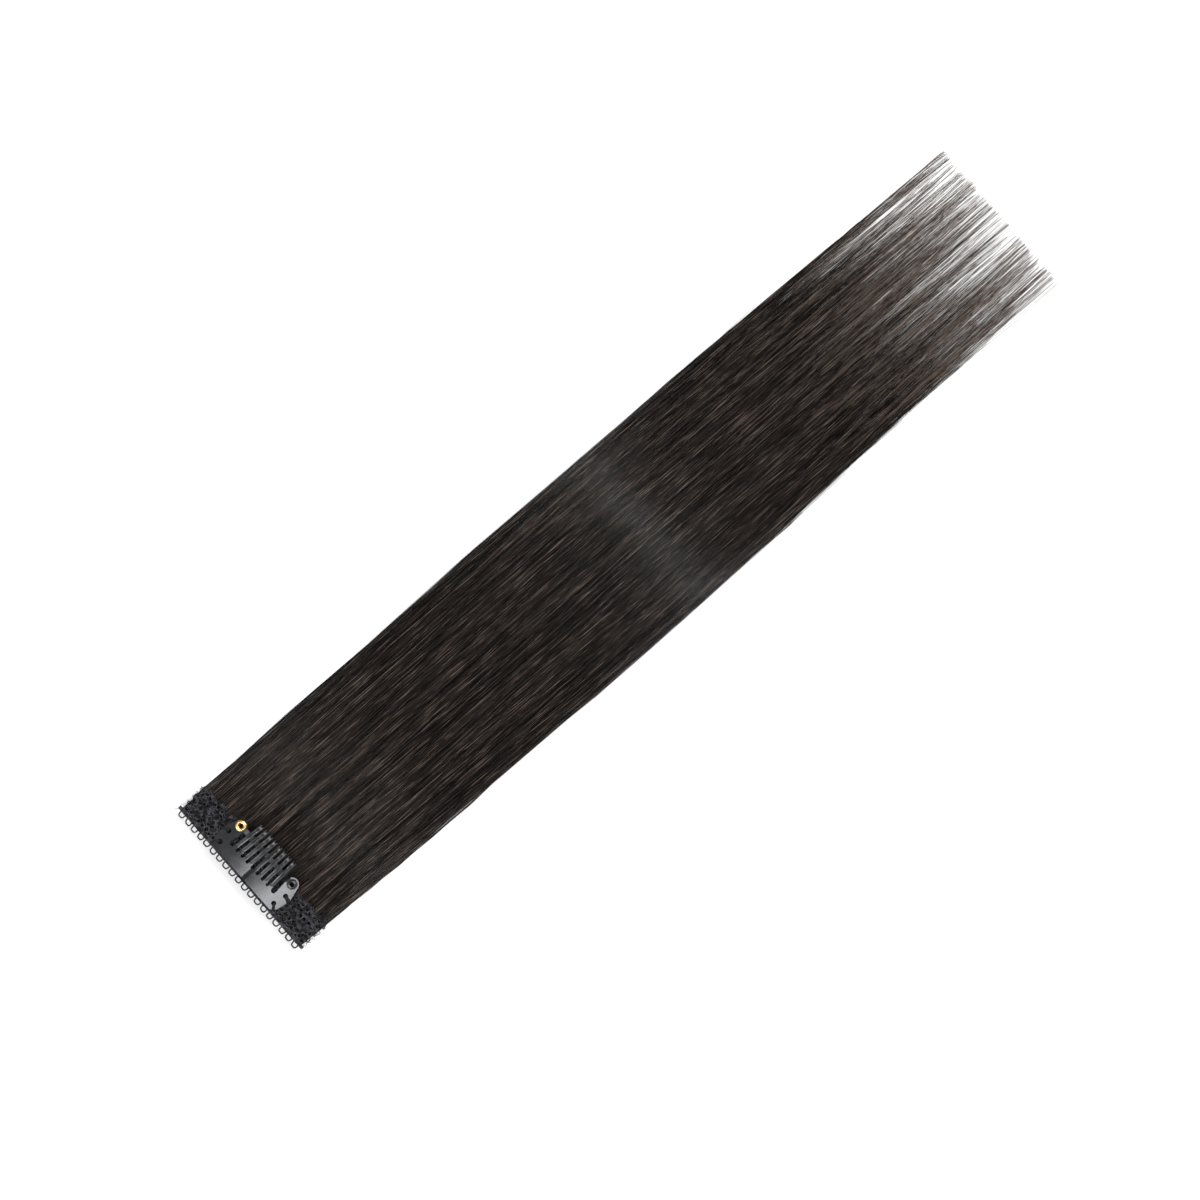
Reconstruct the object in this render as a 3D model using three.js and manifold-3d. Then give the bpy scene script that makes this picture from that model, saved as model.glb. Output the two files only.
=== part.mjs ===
// Clip-in hair extension: a weft of straight hair under a strip of lace, with a snap comb sewn on top.
// Units are millimetres. X runs along the weft, Y from the weft to the tips of the hair, Z is up.
// The origin is the middle of the weft's flat underside, under the middle of the lace.
// Fastened by hand: the teeth slide into the wearer's hair, and the sprung plate snaps flat over the bar.
import * as THREE from "three";
import { mergeVertices } from "three/addons/utils/BufferGeometryUtils.js";
import Module from "manifold-3d";

const wasm = await Module();
wasm.setup();

// Gaps between neighbouring pieces
const clothGap = 0.3;
const steelGap = 0.1;
// How far joined solids run into each other
const lap = 0.05;

// Weft: the sewn head of the hair
const weftLength = 59;
const trackEdgeY = -4;
const trackDepth = 9;
const trackHeight = 2;
const trackEdgeRadius = 0.6;

// Hair: tapered locks side by side, flat where they lie on the surface
const hairReach = 318;
const lockSpacing = 4.5;
const lockHeight = 4.4;
const lockTopFacets = 6;
const lockSink = 0.5;

// Lace: a net ground with raised flowers, a braid along its straight edge and picot loops outside it
const laceLength = 60;
const laceEdgeY = -4.8;
const laceDepth = 11.2;
const laceThickness = 1;
const netThickness = 0.7;
const braidDepth = 1.1;
const scallopSpacing = 6;
const scallopDepth = 1.3;
const netHole = 1.3;
const netSpacing = 2.15;
const netMargin = 0.35;
const flowerSpacing = 12;
const flowerRadius = 3;
const flowerSway = 1.1;
const picotSpacing = 3.05;
const picotWidth = 2;
const picotReach = 1.6;
const picotThread = 0.35;

// Snap comb: pressed steel plate with a crease across its middle, teeth and a sprung bar
const clipEdgeY = -3.9;
const clipDepth = 15.9;
const clipBend = THREE.MathUtils.degToRad(2);
const plateThickness = 0.5;
const backStripDepth = 4.1;
const teethPerSide = 4;
const toothPitch = 2.2;
const toothWidth = 1.3;
// How much farther apart the teeth are at their roots than at their tips
const toothFan = 1.1;
const toothRise = 1.1;
const endSlotWidth = 1.8;
const lobeRadius = 2.2;
const eyeletY = 10.7;
const endOverhang = 3.65;
const endSlant = 2.4;
const endChamferX = 0.8;
const endChamferY = 1.7;
const endCornerY = 6.6;
const endCornerRadius = 1.1;
const sewingHole = 1.7;
const sewingHoles = [
  { fromEnd: 2.95, y: 2.3 },
  { fromEnd: 2.15, y: 6.65 },
];
const barWidth = 1.7;
const barThickness = 0.4;
const barDiscRadius = 1.75;

// Eyelets: one hollow rivet at each end of the bar
const eyeletWall = 0.25;
const eyeletRimThickness = 0.25;
const eyeletRimRadius = 1.45;
const eyeletHeadHeight = 0.42;
const brassEyelet = { flange: 3.7, bore: 1.5 };
const blackEyelet = { flange: 2.9, bore: 1.3 };

// Heights that follow from the sizes above
const laceBottomZ = trackHeight + clothGap;
const laceTopZ = laceBottomZ + laceThickness;
const eyeletX = (teethPerSide - 0.5) * toothPitch + toothWidth / 2 + endSlotWidth + lobeRadius;
const endX = eyeletX + endOverhang;
const plateSeat = eyeletRimThickness + steelGap + clothGap / 2;
const clipZ = laceTopZ + plateSeat + endX * Math.sin(clipBend);
const laceFarY = laceEdgeY + laceDepth;

// A tooth from its root to its tip: shares of its length, and of its rise above the plate
const toothLine = [
  { along: 0, rise: 0 },
  { along: 0.1, rise: 0.02 },
  { along: 0.32, rise: 0.5 },
  { along: 0.56, rise: 0.96 },
  { along: 0.74, rise: 0.98 },
  { along: 0.88, rise: 0.62 },
  { along: 0.96, rise: 0.08 },
  { along: 1, rise: -0.5 },
];

// A lock from where it clears the teeth to its tip: shares of that length, of the lock spacing and of
// the lock height, and how far the whole weft spreads there
const lockSections = [
  { along: 0.03, width: 1.5, height: 0.9, spread: 0.98 },
  { along: 0.1, width: 1.64, height: 1.0, spread: 0.985 },
  { along: 0.28, width: 1.7, height: 0.97, spread: 0.995 },
  { along: 0.46, width: 1.7, height: 0.9, spread: 1.0 },
  { along: 0.62, width: 1.66, height: 0.78, spread: 0.985 },
  { along: 0.74, width: 1.6, height: 0.64, spread: 0.97 },
  { along: 0.84, width: 1.42, height: 0.5, spread: 0.955 },
  { along: 0.92, width: 1.08, height: 0.36, spread: 0.945 },
  { along: 0.97, width: 0.64, height: 0.25, spread: 0.94 },
  { along: 1, width: 0.18, height: 0.14, spread: 0.935 },
];

// Each lock: share of the hair's reach, sideways drift at the tip and at mid length as shares of the
// lock spacing, and share of the lock height. The rows are used in turn from one end of the weft.
const lockRows = [
  { reach: 0.945, tipDrift: 0.1, midDrift: -0.1, heft: 0.78 },
  { reach: 0.972, tipDrift: -0.25, midDrift: 0.06, heft: 0.93 },
  { reach: 0.952, tipDrift: 0.35, midDrift: 0.1, heft: 1.0 },
  { reach: 0.99, tipDrift: -0.15, midDrift: -0.08, heft: 0.94 },
  { reach: 0.965, tipDrift: 0.3, midDrift: 0.05, heft: 1.0 },
  { reach: 1.0, tipDrift: -0.35, midDrift: -0.05, heft: 0.96 },
  { reach: 0.958, tipDrift: 0.1, midDrift: 0.1, heft: 1.0 },
  { reach: 0.985, tipDrift: 0.4, midDrift: -0.1, heft: 0.93 },
  { reach: 0.948, tipDrift: -0.2, midDrift: 0.04, heft: 1.0 },
  { reach: 0.98, tipDrift: 0.25, midDrift: 0.08, heft: 0.97 },
  { reach: 0.96, tipDrift: -0.4, midDrift: -0.06, heft: 1.0 },
  { reach: 0.976, tipDrift: 0.15, midDrift: 0.05, heft: 0.91 },
  { reach: 0.935, tipDrift: -0.1, midDrift: 0.1, heft: 0.78 },
];

const hairMaterial = new THREE.MeshStandardMaterial({ color: 0x2b2420, roughness: 0.5, metalness: 0 });
const laceMaterial = new THREE.MeshStandardMaterial({ color: 0x26262c, roughness: 0.9, metalness: 0 });
const steelMaterial = new THREE.MeshStandardMaterial({ color: 0x2e2f31, roughness: 0.4, metalness: 0.6 });
const brassMaterial = new THREE.MeshStandardMaterial({ color: 0xd9a85a, roughness: 0.25, metalness: 1 });

// A closed geometry as a solid. A mirroring matrix turns every face round, so the corners swap.
function solidOf(geometry, matrix = new THREE.Matrix4()) {
  const plain = geometry.clone().applyMatrix4(matrix);
  plain.deleteAttribute("normal");
  plain.deleteAttribute("uv");
  const merged = mergeVertices(plain, 1e-4);
  const triVerts = new Uint32Array(merged.index.array);
  if (matrix.determinant() < 0) {
    for (let i = 0; i < triVerts.length; i += 3) {
      [triVerts[i + 1], triVerts[i + 2]] = [triVerts[i + 2], triVerts[i + 1]];
    }
  }
  const vertProperties = merged.attributes.position.array;
  return new wasm.Manifold(new wasm.Mesh({ numProp: 3, vertProperties, triVerts }));
}

function joined(solids) {
  return solids.reduce((whole, next) => whole.add(next));
}

function geometryOf(solid) {
  const mesh = solid.getMesh();
  const geometry = new THREE.BufferGeometry();
  geometry.setAttribute("position", new THREE.BufferAttribute(mesh.vertProperties, 3));
  geometry.setIndex(new THREE.BufferAttribute(mesh.triVerts, 1));
  const faceted = geometry.toNonIndexed();
  faceted.computeVertexNormals();
  return faceted;
}

function extruded(shape, depth, curveSegments = 4) {
  return new THREE.ExtrudeGeometry(shape, { depth, bevelEnabled: false, curveSegments });
}

function shapeOf(points) {
  return new THREE.Shape(points.map(([x, y]) => new THREE.Vector2(x, y)));
}

// A profile drawn in Y and Z, drawn out along X
function drawnAlongX(profile, fromX, toX) {
  const basis = new THREE.Matrix4().makeBasis(
    new THREE.Vector3(0, 1, 0),
    new THREE.Vector3(0, 0, 1),
    new THREE.Vector3(1, 0, 0),
  );
  return extruded(profile, toX - fromX).applyMatrix4(basis).translate(fromX, 0, 0);
}

// A profile drawn in X and Z, drawn out along Y
function drawnAlongY(profile, fromY, toY) {
  const basis = new THREE.Matrix4().makeBasis(
    new THREE.Vector3(1, 0, 0),
    new THREE.Vector3(0, 0, 1),
    new THREE.Vector3(0, -1, 0),
  );
  return extruded(profile, toY - fromY).applyMatrix4(basis).translate(0, toY, 0);
}

// A regular outline round a centre
function ringPoints(x, y, radius, sides) {
  return Array.from({ length: sides }, (_, i) => {
    const angle = (2 * Math.PI * i) / sides;
    return [x + radius * Math.cos(angle), y + radius * Math.sin(angle)];
  });
}

// Closed skin over rings that all have the same number of points
function lofted(rings) {
  const sides = rings[0].length;
  const positions = rings.flat().flatMap((p) => [p.x, p.y, p.z]);
  const triangles = [];
  for (let r = 0; r < rings.length - 1; r += 1) {
    for (let i = 0; i < sides; i += 1) {
      const a = r * sides + i;
      const b = r * sides + ((i + 1) % sides);
      triangles.push(a, b + sides, b, a, a + sides, b + sides);
    }
  }
  const last = (rings.length - 1) * sides;
  for (let i = 1; i < sides - 1; i += 1) {
    triangles.push(0, i, i + 1);
    triangles.push(last, last + i + 1, last + i);
  }
  const geometry = new THREE.BufferGeometry();
  geometry.setAttribute("position", new THREE.Float32BufferAttribute(positions, 3));
  geometry.setIndex(triangles);
  return geometry;
}

// Hair

// Section of a lock across Y: an upright half oval that starts below the surface, where it is cut off
function lockRing(y, centreX, width, height, sink) {
  const ring = [];
  for (let i = 0; i <= lockTopFacets; i += 1) {
    const angle = (Math.PI * i) / lockTopFacets;
    ring.push(new THREE.Vector3(
      centreX + (width / 2) * Math.cos(angle),
      y,
      (height + sink) * Math.sin(angle) - sink,
    ));
  }
  return ring;
}

function lock(row, restX, spacing, underTeethZ, sink) {
  const underLaceY = laceFarY + clothGap;
  const underTeethY = clipEdgeY + clipDepth + clothGap;
  const rings = [
    lockRing(0, restX, spacing * 1.16, trackHeight * 0.9, sink),
    lockRing(underLaceY, restX, spacing * 1.16, trackHeight, sink),
    lockRing(underTeethY, restX, spacing * 1.18, underTeethZ, sink),
  ];
  const length = hairReach * row.reach - underTeethY;
  for (const { along, width, height, spread } of lockSections) {
    const midShare = Math.sin(Math.PI * along);
    const drift = spacing * (row.tipDrift * along ** 3 + row.midDrift * midShare);
    rings.push(lockRing(
      underTeethY + length * along,
      restX * spread + drift,
      spacing * width,
      lockHeight * height * row.heft,
      sink,
    ));
  }
  return lofted(rings);
}

function hairLocks(underTeethZ) {
  const farY = trackEdgeY + trackDepth;
  const track = new THREE.Shape();
  track.moveTo(trackEdgeY, -clothGap);
  track.lineTo(farY, -clothGap);
  track.lineTo(farY, trackHeight - trackEdgeRadius);
  track.quadraticCurveTo(farY, trackHeight, farY - trackEdgeRadius, trackHeight);
  track.lineTo(trackEdgeY + trackEdgeRadius, trackHeight);
  track.quadraticCurveTo(trackEdgeY, trackHeight, trackEdgeY, trackHeight - trackEdgeRadius);
  const solids = [solidOf(drawnAlongX(track, -weftLength / 2, weftLength / 2))];
  const count = Math.max(2, Math.round(weftLength / lockSpacing));
  const spacing = weftLength / (count + 0.16);
  for (let i = 0; i < count; i += 1) {
    const restX = (i - (count - 1) / 2) * spacing;
    const sink = lockSink * (1 + (i % 3) / 10);
    solids.push(solidOf(lock(lockRows[i % lockRows.length], restX, spacing, underTeethZ, sink)));
  }
  const surface = new THREE.BoxGeometry(weftLength * 2, hairReach * 3, lockHeight);
  return geometryOf(joined(solids).subtract(solidOf(surface.translate(0, 0, -lockHeight / 2))));
}

// Lace

// Far edge of the lace above a place along the weft: scallops that meet in points
function scallopY(x, spacing) {
  const share = THREE.MathUtils.euclideanModulo(x + laceLength / 2, spacing) / spacing;
  return laceFarY - scallopDepth * (1 - Math.sin(Math.PI * share));
}

function flowerCentres() {
  const count = Math.max(1, Math.round(laceLength / flowerSpacing));
  const step = laceLength / count;
  const middleY = (laceEdgeY + braidDepth + laceFarY - scallopDepth) / 2;
  return Array.from({ length: count }, (_, i) => ({
    x: (i - (count - 1) / 2) * step,
    y: middleY + (i % 2 ? flowerSway : -flowerSway),
  }));
}

// Five petals round a centre
function flowerShape({ x, y }) {
  const petals = 5;
  const steps = 4 * petals;
  const points = Array.from({ length: steps }, (_, i) => {
    const angle = (2 * Math.PI * i) / steps;
    const radius = flowerRadius * (0.8 + 0.2 * Math.cos(petals * angle));
    return [x + radius * Math.cos(angle), y + radius * Math.sin(angle)];
  });
  return shapeOf(points);
}

// Places of the net's holes, in staggered rows clear of the flowers and the edges
function netHoles(flowers, spacing) {
  const holes = [];
  const rowStep = netSpacing * Math.sin(Math.PI / 3);
  const firstY = laceEdgeY + braidDepth + netHole / 2 + netMargin / 2;
  for (let row = 0; firstY + row * rowStep < laceFarY; row += 1) {
    const y = firstY + row * rowStep;
    const count = Math.floor((laceLength - netHole - 2 * netMargin) / netSpacing);
    for (let i = 0; i < count; i += 1) {
      const x = (i - (count - 1) / 2 + (row % 2 ? 0.25 : -0.25)) * netSpacing;
      const edge = Math.min(
        scallopY(x, spacing),
        scallopY(x - netHole / 2, spacing),
        scallopY(x + netHole / 2, spacing),
      );
      const inFlower = flowers.some((f) => {
        return Math.hypot(f.x - x, f.y - y) < flowerRadius + netHole / 2;
      });
      const inBand = Math.abs(x) + netHole / 2 + netMargin < laceLength / 2;
      if (!inFlower && inBand && y + netHole / 2 + netMargin < edge) {
        holes.push([x, y]);
      }
    }
  }
  return holes;
}

// One loop of thread outside the straight edge: a round-cornered D
function picot(centreX) {
  const outline = (inset) => {
    const halfWidth = picotWidth / 2 - inset;
    const reach = picotReach - inset;
    const rootY = laceEdgeY + (inset ? 0 : lap);
    const farY = laceEdgeY - reach;
    const waistX = halfWidth * 0.75;
    const bulgeX = halfWidth * 1.3;
    const shape = new THREE.Shape();
    shape.moveTo(centreX - waistX, rootY);
    shape.bezierCurveTo(centreX - bulgeX, rootY - reach / 2, centreX - bulgeX, farY, centreX, farY);
    shape.bezierCurveTo(centreX + bulgeX, farY, centreX + bulgeX, rootY - reach / 2, centreX + waistX, rootY);
    return shape;
  };
  const loop = outline(0);
  loop.holes.push(outline(picotThread));
  return extruded(loop, picotThread, 4);
}

function laceBand() {
  const scallops = Math.max(2, Math.round(laceLength / scallopSpacing));
  const spacing = laceLength / scallops;
  const steps = 5;
  const outline = [
    [-laceLength / 2, laceEdgeY],
    [laceLength / 2, laceEdgeY],
  ];
  for (let i = scallops * steps; i >= 0; i -= 1) {
    const x = -laceLength / 2 + (i * spacing) / steps;
    outline.push([x, i % steps ? scallopY(x, spacing) : laceFarY - scallopDepth]);
  }
  const flowers = flowerCentres();
  const ground = shapeOf(outline);
  for (const [x, y] of netHoles(flowers, spacing)) {
    ground.holes.push(shapeOf(ringPoints(x, y, netHole / 2, 6)));
  }
  const braid = shapeOf([
    [-laceLength / 2, laceEdgeY],
    [laceLength / 2, laceEdgeY],
    [laceLength / 2, laceEdgeY + braidDepth],
    [-laceLength / 2, laceEdgeY + braidDepth],
  ]);
  const solids = [solidOf(extruded(ground, netThickness)), solidOf(extruded(braid, laceThickness))];
  for (const flower of flowers) {
    solids.push(solidOf(extruded(flowerShape(flower), laceThickness)));
  }
  const picots = Math.floor(laceLength / picotSpacing);
  const picotZ = (laceThickness - picotThread) / 2;
  for (let i = 0; i < picots; i += 1) {
    const x = (i - (picots - 1) / 2) * picotSpacing;
    solids.push(solidOf(picot(x).translate(0, 0, picotZ)));
  }
  return geometryOf(joined(solids));
}

// Snap comb, in its own frame: X from the crease, Y from the back edge, Z from the plate's underside

// A piece made for one side, tilted about the crease, with the same for the other side mirrored
function bothSides(halfFor) {
  const tilt = new THREE.Matrix4().makeRotationY(clipBend);
  const mirroredTilt = new THREE.Matrix4().makeScale(-1, 1, 1).multiply(tilt);
  const right = halfFor(blackEyelet).map((half) => half.transform(tilt.toArray()));
  const left = halfFor(brassEyelet).map((half) => half.transform(mirroredTilt.toArray()));
  return joined([...right, ...left]);
}

function barrelHole(eyelet) {
  return eyelet.bore / 2 + eyeletWall + steelGap;
}

// Where the straight end edge of the plate meets the round lobe
function lobeTangent() {
  const toLobe = new THREE.Vector2(eyeletX - endX, eyeletY - endCornerY);
  const sweep = Math.asin(lobeRadius / toLobe.length());
  return toLobe.angle() - sweep - Math.PI / 2;
}

function plateOutline(eyelet, armX, fingerY) {
  const corner = new THREE.Vector2(endX, endCornerY);
  const chamfer = new THREE.Vector2(endX - endChamferX, endChamferY);
  const angle = lobeTangent();
  const lobe = new THREE.Vector2(
    eyeletX + lobeRadius * Math.cos(angle),
    eyeletY + lobeRadius * Math.sin(angle),
  );
  const before = corner.clone().add(chamfer.clone().sub(corner).setLength(endCornerRadius));
  const after = corner.clone().add(lobe.clone().sub(corner).setLength(endCornerRadius));
  const outline = new THREE.Shape();
  outline.moveTo(-lap, 0);
  outline.lineTo(endX - endSlant, 0);
  outline.lineTo(chamfer.x, chamfer.y);
  outline.lineTo(before.x, before.y);
  outline.quadraticCurveTo(corner.x, corner.y, after.x, after.y);
  outline.lineTo(lobe.x, lobe.y);
  outline.absarc(eyeletX, eyeletY, lobeRadius, angle, Math.PI, false);
  outline.lineTo(armX, fingerY);
  outline.lineTo(-lap, fingerY);
  for (const { fromEnd, y } of sewingHoles) {
    outline.holes.push(shapeOf(ringPoints(endX - fromEnd, y, sewingHole / 2, 12)));
  }
  outline.holes.push(shapeOf(ringPoints(eyeletX, eyeletY, barrelHole(eyelet), 16)));
  return outline;
}

function toothLength() {
  return clipDepth - backStripDepth;
}

// Where a line of the fan that has this x at the tips of the teeth lies at a given y
function fanned(tipX, y) {
  return tipX * (1 + (toothFan - 1) * (clipDepth - y) / toothLength());
}

// A slot with a round end, open towards the teeth
function slotCut(tipX, width, fingerY) {
  const radius = width / 2;
  const endY = backStripDepth + radius;
  const openY = fingerY + lap;
  const endCentreX = fanned(tipX, endY);
  const openCentreX = fanned(tipX, openY);
  const slot = new THREE.Shape();
  slot.moveTo(openCentreX - radius, openY);
  slot.lineTo(endCentreX - radius, endY);
  slot.absarc(endCentreX, endY, radius, Math.PI, 2 * Math.PI, false);
  slot.lineTo(openCentreX + radius, openY);
  return extruded(slot, plateThickness * 3, 5).translate(0, 0, -plateThickness);
}

// Side view of a tooth: a strip of even thickness along its line
function toothProfile() {
  const line = new THREE.SplineCurve(toothLine.map(({ along, rise }) => new THREE.Vector2(
    backStripDepth + toothLength() * along,
    plateThickness / 2 + toothRise * rise,
  )));
  const steps = 11;
  const upper = [];
  const lower = [];
  for (let i = 0; i <= steps; i += 1) {
    const at = line.getPoint(i / steps);
    const across = line.getTangent(i / steps).rotateAround(new THREE.Vector2(), Math.PI / 2);
    across.setLength(plateThickness / 2);
    upper.push([at.x + across.x, at.y + across.y]);
    lower.push([at.x - across.x, at.y - across.y]);
  }
  return shapeOf([...lower, ...upper.reverse()]);
}

// A tooth leans towards the crease, so that the teeth come together at their tips
function tooth(tipX) {
  const lean = (fanned(tipX, 0) - tipX) / clipDepth;
  const straight = drawnAlongX(toothProfile(), tipX - toothWidth / 2, tipX + toothWidth / 2);
  return straight.applyMatrix4(new THREE.Matrix4().set(
    1, -lean, 0, lean * clipDepth,
    0, 1, 0, 0,
    0, 0, 1, 0,
    0, 0, 0, 1,
  ));
}

function combPlate() {
  const slotWidth = toothPitch * toothFan - toothWidth;
  const fingerY = backStripDepth + slotWidth / 2 + endSlotWidth / 2;
  const lastTooth = (teethPerSide - 0.5) * toothPitch;
  const endSlotX = lastTooth + (toothWidth + endSlotWidth) / 2 / toothFan;
  const armX = fanned(endSlotX, fingerY) + endSlotWidth / 2;
  return geometryOf(bothSides((eyelet) => {
    let blade = solidOf(extruded(plateOutline(eyelet, armX, fingerY), plateThickness, 8));
    for (let i = 0; i < teethPerSide; i += 1) {
      blade = blade.subtract(solidOf(slotCut(i * toothPitch, slotWidth, fingerY)));
    }
    blade = blade.subtract(solidOf(slotCut(endSlotX, endSlotWidth, fingerY)));
    const teeth = [];
    for (let i = 0; i < teethPerSide; i += 1) {
      teeth.push(solidOf(tooth((i + 0.5) * toothPitch)));
    }
    return [blade, ...teeth];
  }));
}

// The bar lies low under the teeth and climbs onto the plate at each eyelet
function snapBar() {
  const lastToothX = fanned((teethPerSide - 0.5) * toothPitch, eyeletY - barWidth / 2) + toothWidth / 2;
  const rampEndX = eyeletX - lobeRadius - steelGap;
  const highZ = plateThickness + steelGap;
  return geometryOf(bothSides((eyelet) => {
    const profile = shapeOf([
      [-lap, 0],
      [lastToothX + steelGap, 0],
      [rampEndX, highZ],
      [eyeletX, highZ],
      [eyeletX, highZ + barThickness],
      [rampEndX - barThickness / 2, highZ + barThickness],
      [lastToothX + steelGap - barThickness / 2, barThickness],
      [-lap, barThickness],
    ]);
    const strip = solidOf(drawnAlongY(profile, eyeletY - barWidth / 2, eyeletY + barWidth / 2));
    const disc = shapeOf(ringPoints(eyeletX, eyeletY, barDiscRadius, 20));
    const hole = shapeOf(ringPoints(eyeletX, eyeletY, barrelHole(eyelet), 16));
    const end = solidOf(extruded(disc, barThickness).translate(0, 0, highZ));
    const through = solidOf(extruded(hole, barThickness * 3).translate(0, 0, highZ - barThickness));
    return [strip.add(end).subtract(through)];
  }));
}

// A hollow rivet: a flat rim under the plate, a barrel, and a rolled head on top of the bar
function eyeletGeometry({ flange, bore }) {
  const seatZ = plateThickness + steelGap + barThickness + steelGap;
  const boreRadius = bore / 2;
  const headRadius = flange / 2;
  const headWidth = headRadius - boreRadius;
  const rimTopZ = -steelGap;
  const rimBottomZ = rimTopZ - eyeletRimThickness;
  const profile = [
    [boreRadius, rimBottomZ],
    [eyeletRimRadius, rimBottomZ],
    [eyeletRimRadius, rimTopZ],
    [boreRadius + eyeletWall, rimTopZ],
    [boreRadius + eyeletWall, seatZ],
    [headRadius - 0.06, seatZ],
    [headRadius, seatZ + eyeletHeadHeight * 0.35],
    [headRadius - headWidth * 0.16, seatZ + eyeletHeadHeight * 0.75],
    [boreRadius + headWidth * 0.55, seatZ + eyeletHeadHeight],
    [boreRadius + headWidth * 0.2, seatZ + eyeletHeadHeight * 0.85],
    [boreRadius, seatZ + eyeletHeadHeight * 0.4],
    [boreRadius, rimBottomZ],
  ];
  const lathe = new THREE.LatheGeometry(profile.map(([r, z]) => new THREE.Vector2(r, z)), 20);
  return geometryOf(solidOf(lathe.rotateX(Math.PI / 2)));
}

function named(name, geometry, material) {
  const mesh = new THREE.Mesh(geometry, material);
  mesh.name = name;
  return mesh;
}

// Assembly
const part = new THREE.Group();

const tipDrop = plateThickness - toothRise * toothLine.at(-1).rise;
const lastTooth = (teethPerSide - 0.5) * toothPitch;
const underTeethZ = clipZ - tipDrop - lastTooth * Math.sin(clipBend) - clothGap;
part.add(named("hair_locks", hairLocks(underTeethZ), hairMaterial));

const lace = named("lace_band", laceBand(), laceMaterial);
lace.position.z = laceBottomZ;
part.add(lace);

const clip = new THREE.Group();
clip.position.set(0, clipEdgeY, clipZ);
clip.add(named("comb_plate", combPlate(), steelMaterial));
clip.add(named("snap_bar", snapBar(), steelMaterial));
for (const [name, eyelet, side, material] of [
  ["eyelet_brass", brassEyelet, -1, brassMaterial],
  ["eyelet_black", blackEyelet, 1, steelMaterial],
]) {
  const tilted = new THREE.Group();
  tilted.rotation.y = side * clipBend;
  const rivet = named(name, eyeletGeometry(eyelet), material);
  rivet.position.set(side * eyeletX, eyeletY, 0);
  tilted.add(rivet);
  clip.add(tilted);
}
part.add(clip);

export default part;
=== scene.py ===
"""Looks of the clip in hair extension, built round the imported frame.

Lengths here are millimetres in the row's frame, and MM turns them into metres.
X runs along the weft, Y from the weft to the tips of the hair, Z up.
"""

import math

import bpy
import numpy as np
from mathutils import Matrix, Vector


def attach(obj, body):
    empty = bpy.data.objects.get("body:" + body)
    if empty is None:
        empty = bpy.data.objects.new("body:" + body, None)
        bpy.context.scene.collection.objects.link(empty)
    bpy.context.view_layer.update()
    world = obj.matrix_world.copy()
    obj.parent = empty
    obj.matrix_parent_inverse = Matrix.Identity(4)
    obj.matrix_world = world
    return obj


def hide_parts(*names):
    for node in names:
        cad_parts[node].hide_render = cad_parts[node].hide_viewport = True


MM = 0.001
BODY = "root"
UP = np.array([0.0, 0.0, 1.0])
RIGHT = np.array([1.0, 0.0, 0.0])
FORWARD = np.array([0.0, 1.0, 0.0])

# Hair: strands lie together in wisps, each with its own reach, and the longest are cut off level.
# Along a strand, s is the share of the way from its root to the level cut.
HAIR_REACH = 318.0
WEFT_HALF = 29.0
ROOT_Y = 0.5
WISPS = 1000
WISP_STRANDS = 7
WISP_JITTER = 0.12
LOOSE_SHARE = 0.1
STRAND_PIECES = 5
STRAND_SIDES = 3
STRAND_RADIUS = 0.078
STRAND_THICKNESS = (0.8, 1.15)
TIP_RADIUS = 0.052
TAPER_START = 0.75
GROUND_GAP = 0.02
SHORTER_BY = 0.12
CUT_ROUGHNESS = 0.004

# Rings of a strand: at these distances from the lace's middle, then evenly over what is left. The upper
# wisps need more of them than the ones below, which show little.
UPPER_SHARE = 0.5
UPPER_RINGS = [ROOT_Y, 4, 9, 15, 24, 36, 50, 66, 82, 98, 114, 130, 145, 157, 166, 175, 189]
UPPER_TAIL = 7
LOWER_RINGS = [ROOT_Y, 6, 14, 40, 80, 120, 165]
LOWER_TAIL = 4
ZONE_RING = 3

# Multiples of these two, less their whole part, spread evenly over a square. They are 1 / g and
# 1 / g ** 2, where g ** 4 = g + 1.
EVEN_STEPS = (0.8191725134, 0.6710436067)

# Share of the wisps that would reach at least so far, were they not cut
WISP_REACH = [
    {"share": 0.0, "reach": 1.12},
    {"share": 0.03, "reach": 1.04},
    {"share": 0.055, "reach": 1.0},
    {"share": 0.08, "reach": 0.975},
    {"share": 0.1, "reach": 0.95},
    {"share": 0.13, "reach": 0.92},
    {"share": 0.18, "reach": 0.88},
    {"share": 0.26, "reach": 0.84},
    {"share": 0.37, "reach": 0.8},
    {"share": 0.48, "reach": 0.76},
    {"share": 0.66, "reach": 0.7},
    {"share": 1.0, "reach": 0.62},
]

# A wisp's half width along it
WISP_WIDTH = [
    {"s": 0.0, "half": 0.5},
    {"s": 0.06, "half": 0.36},
    {"s": 0.16, "half": 0.3},
    {"s": 0.5, "half": 0.3},
    {"s": 0.7, "half": 0.5},
    {"s": 0.8, "half": 1.3},
    {"s": 0.9, "half": 2.5},
    {"s": 1.0, "half": 4.0},
]
WISP_CORE = 0.3
WISP_FLATNESS = 0.35
WISP_TWIST = 2.0
LOOSE_WIDTH = 0.3
SIDE_SLACK = 1.0

# Sideways waves that neighbouring wisps share: their size, the width of one across the weft, how many
# lie along the hair, and their phase. The drift grows along the hair, the ripple starts at the root.
SHARED_DRIFT = [
    {"size": 0.8, "width": 31, "along": 0.8, "phase": 0.7},
    {"size": 0.35, "width": 11, "along": -1.3, "phase": 2.1},
]
SHARED_RIPPLE = {"size": 0.22, "width": 5, "along": 3.1, "phase": 1.3}
RIPPLE_START = 0.1
LOOSENING = 0.12

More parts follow.
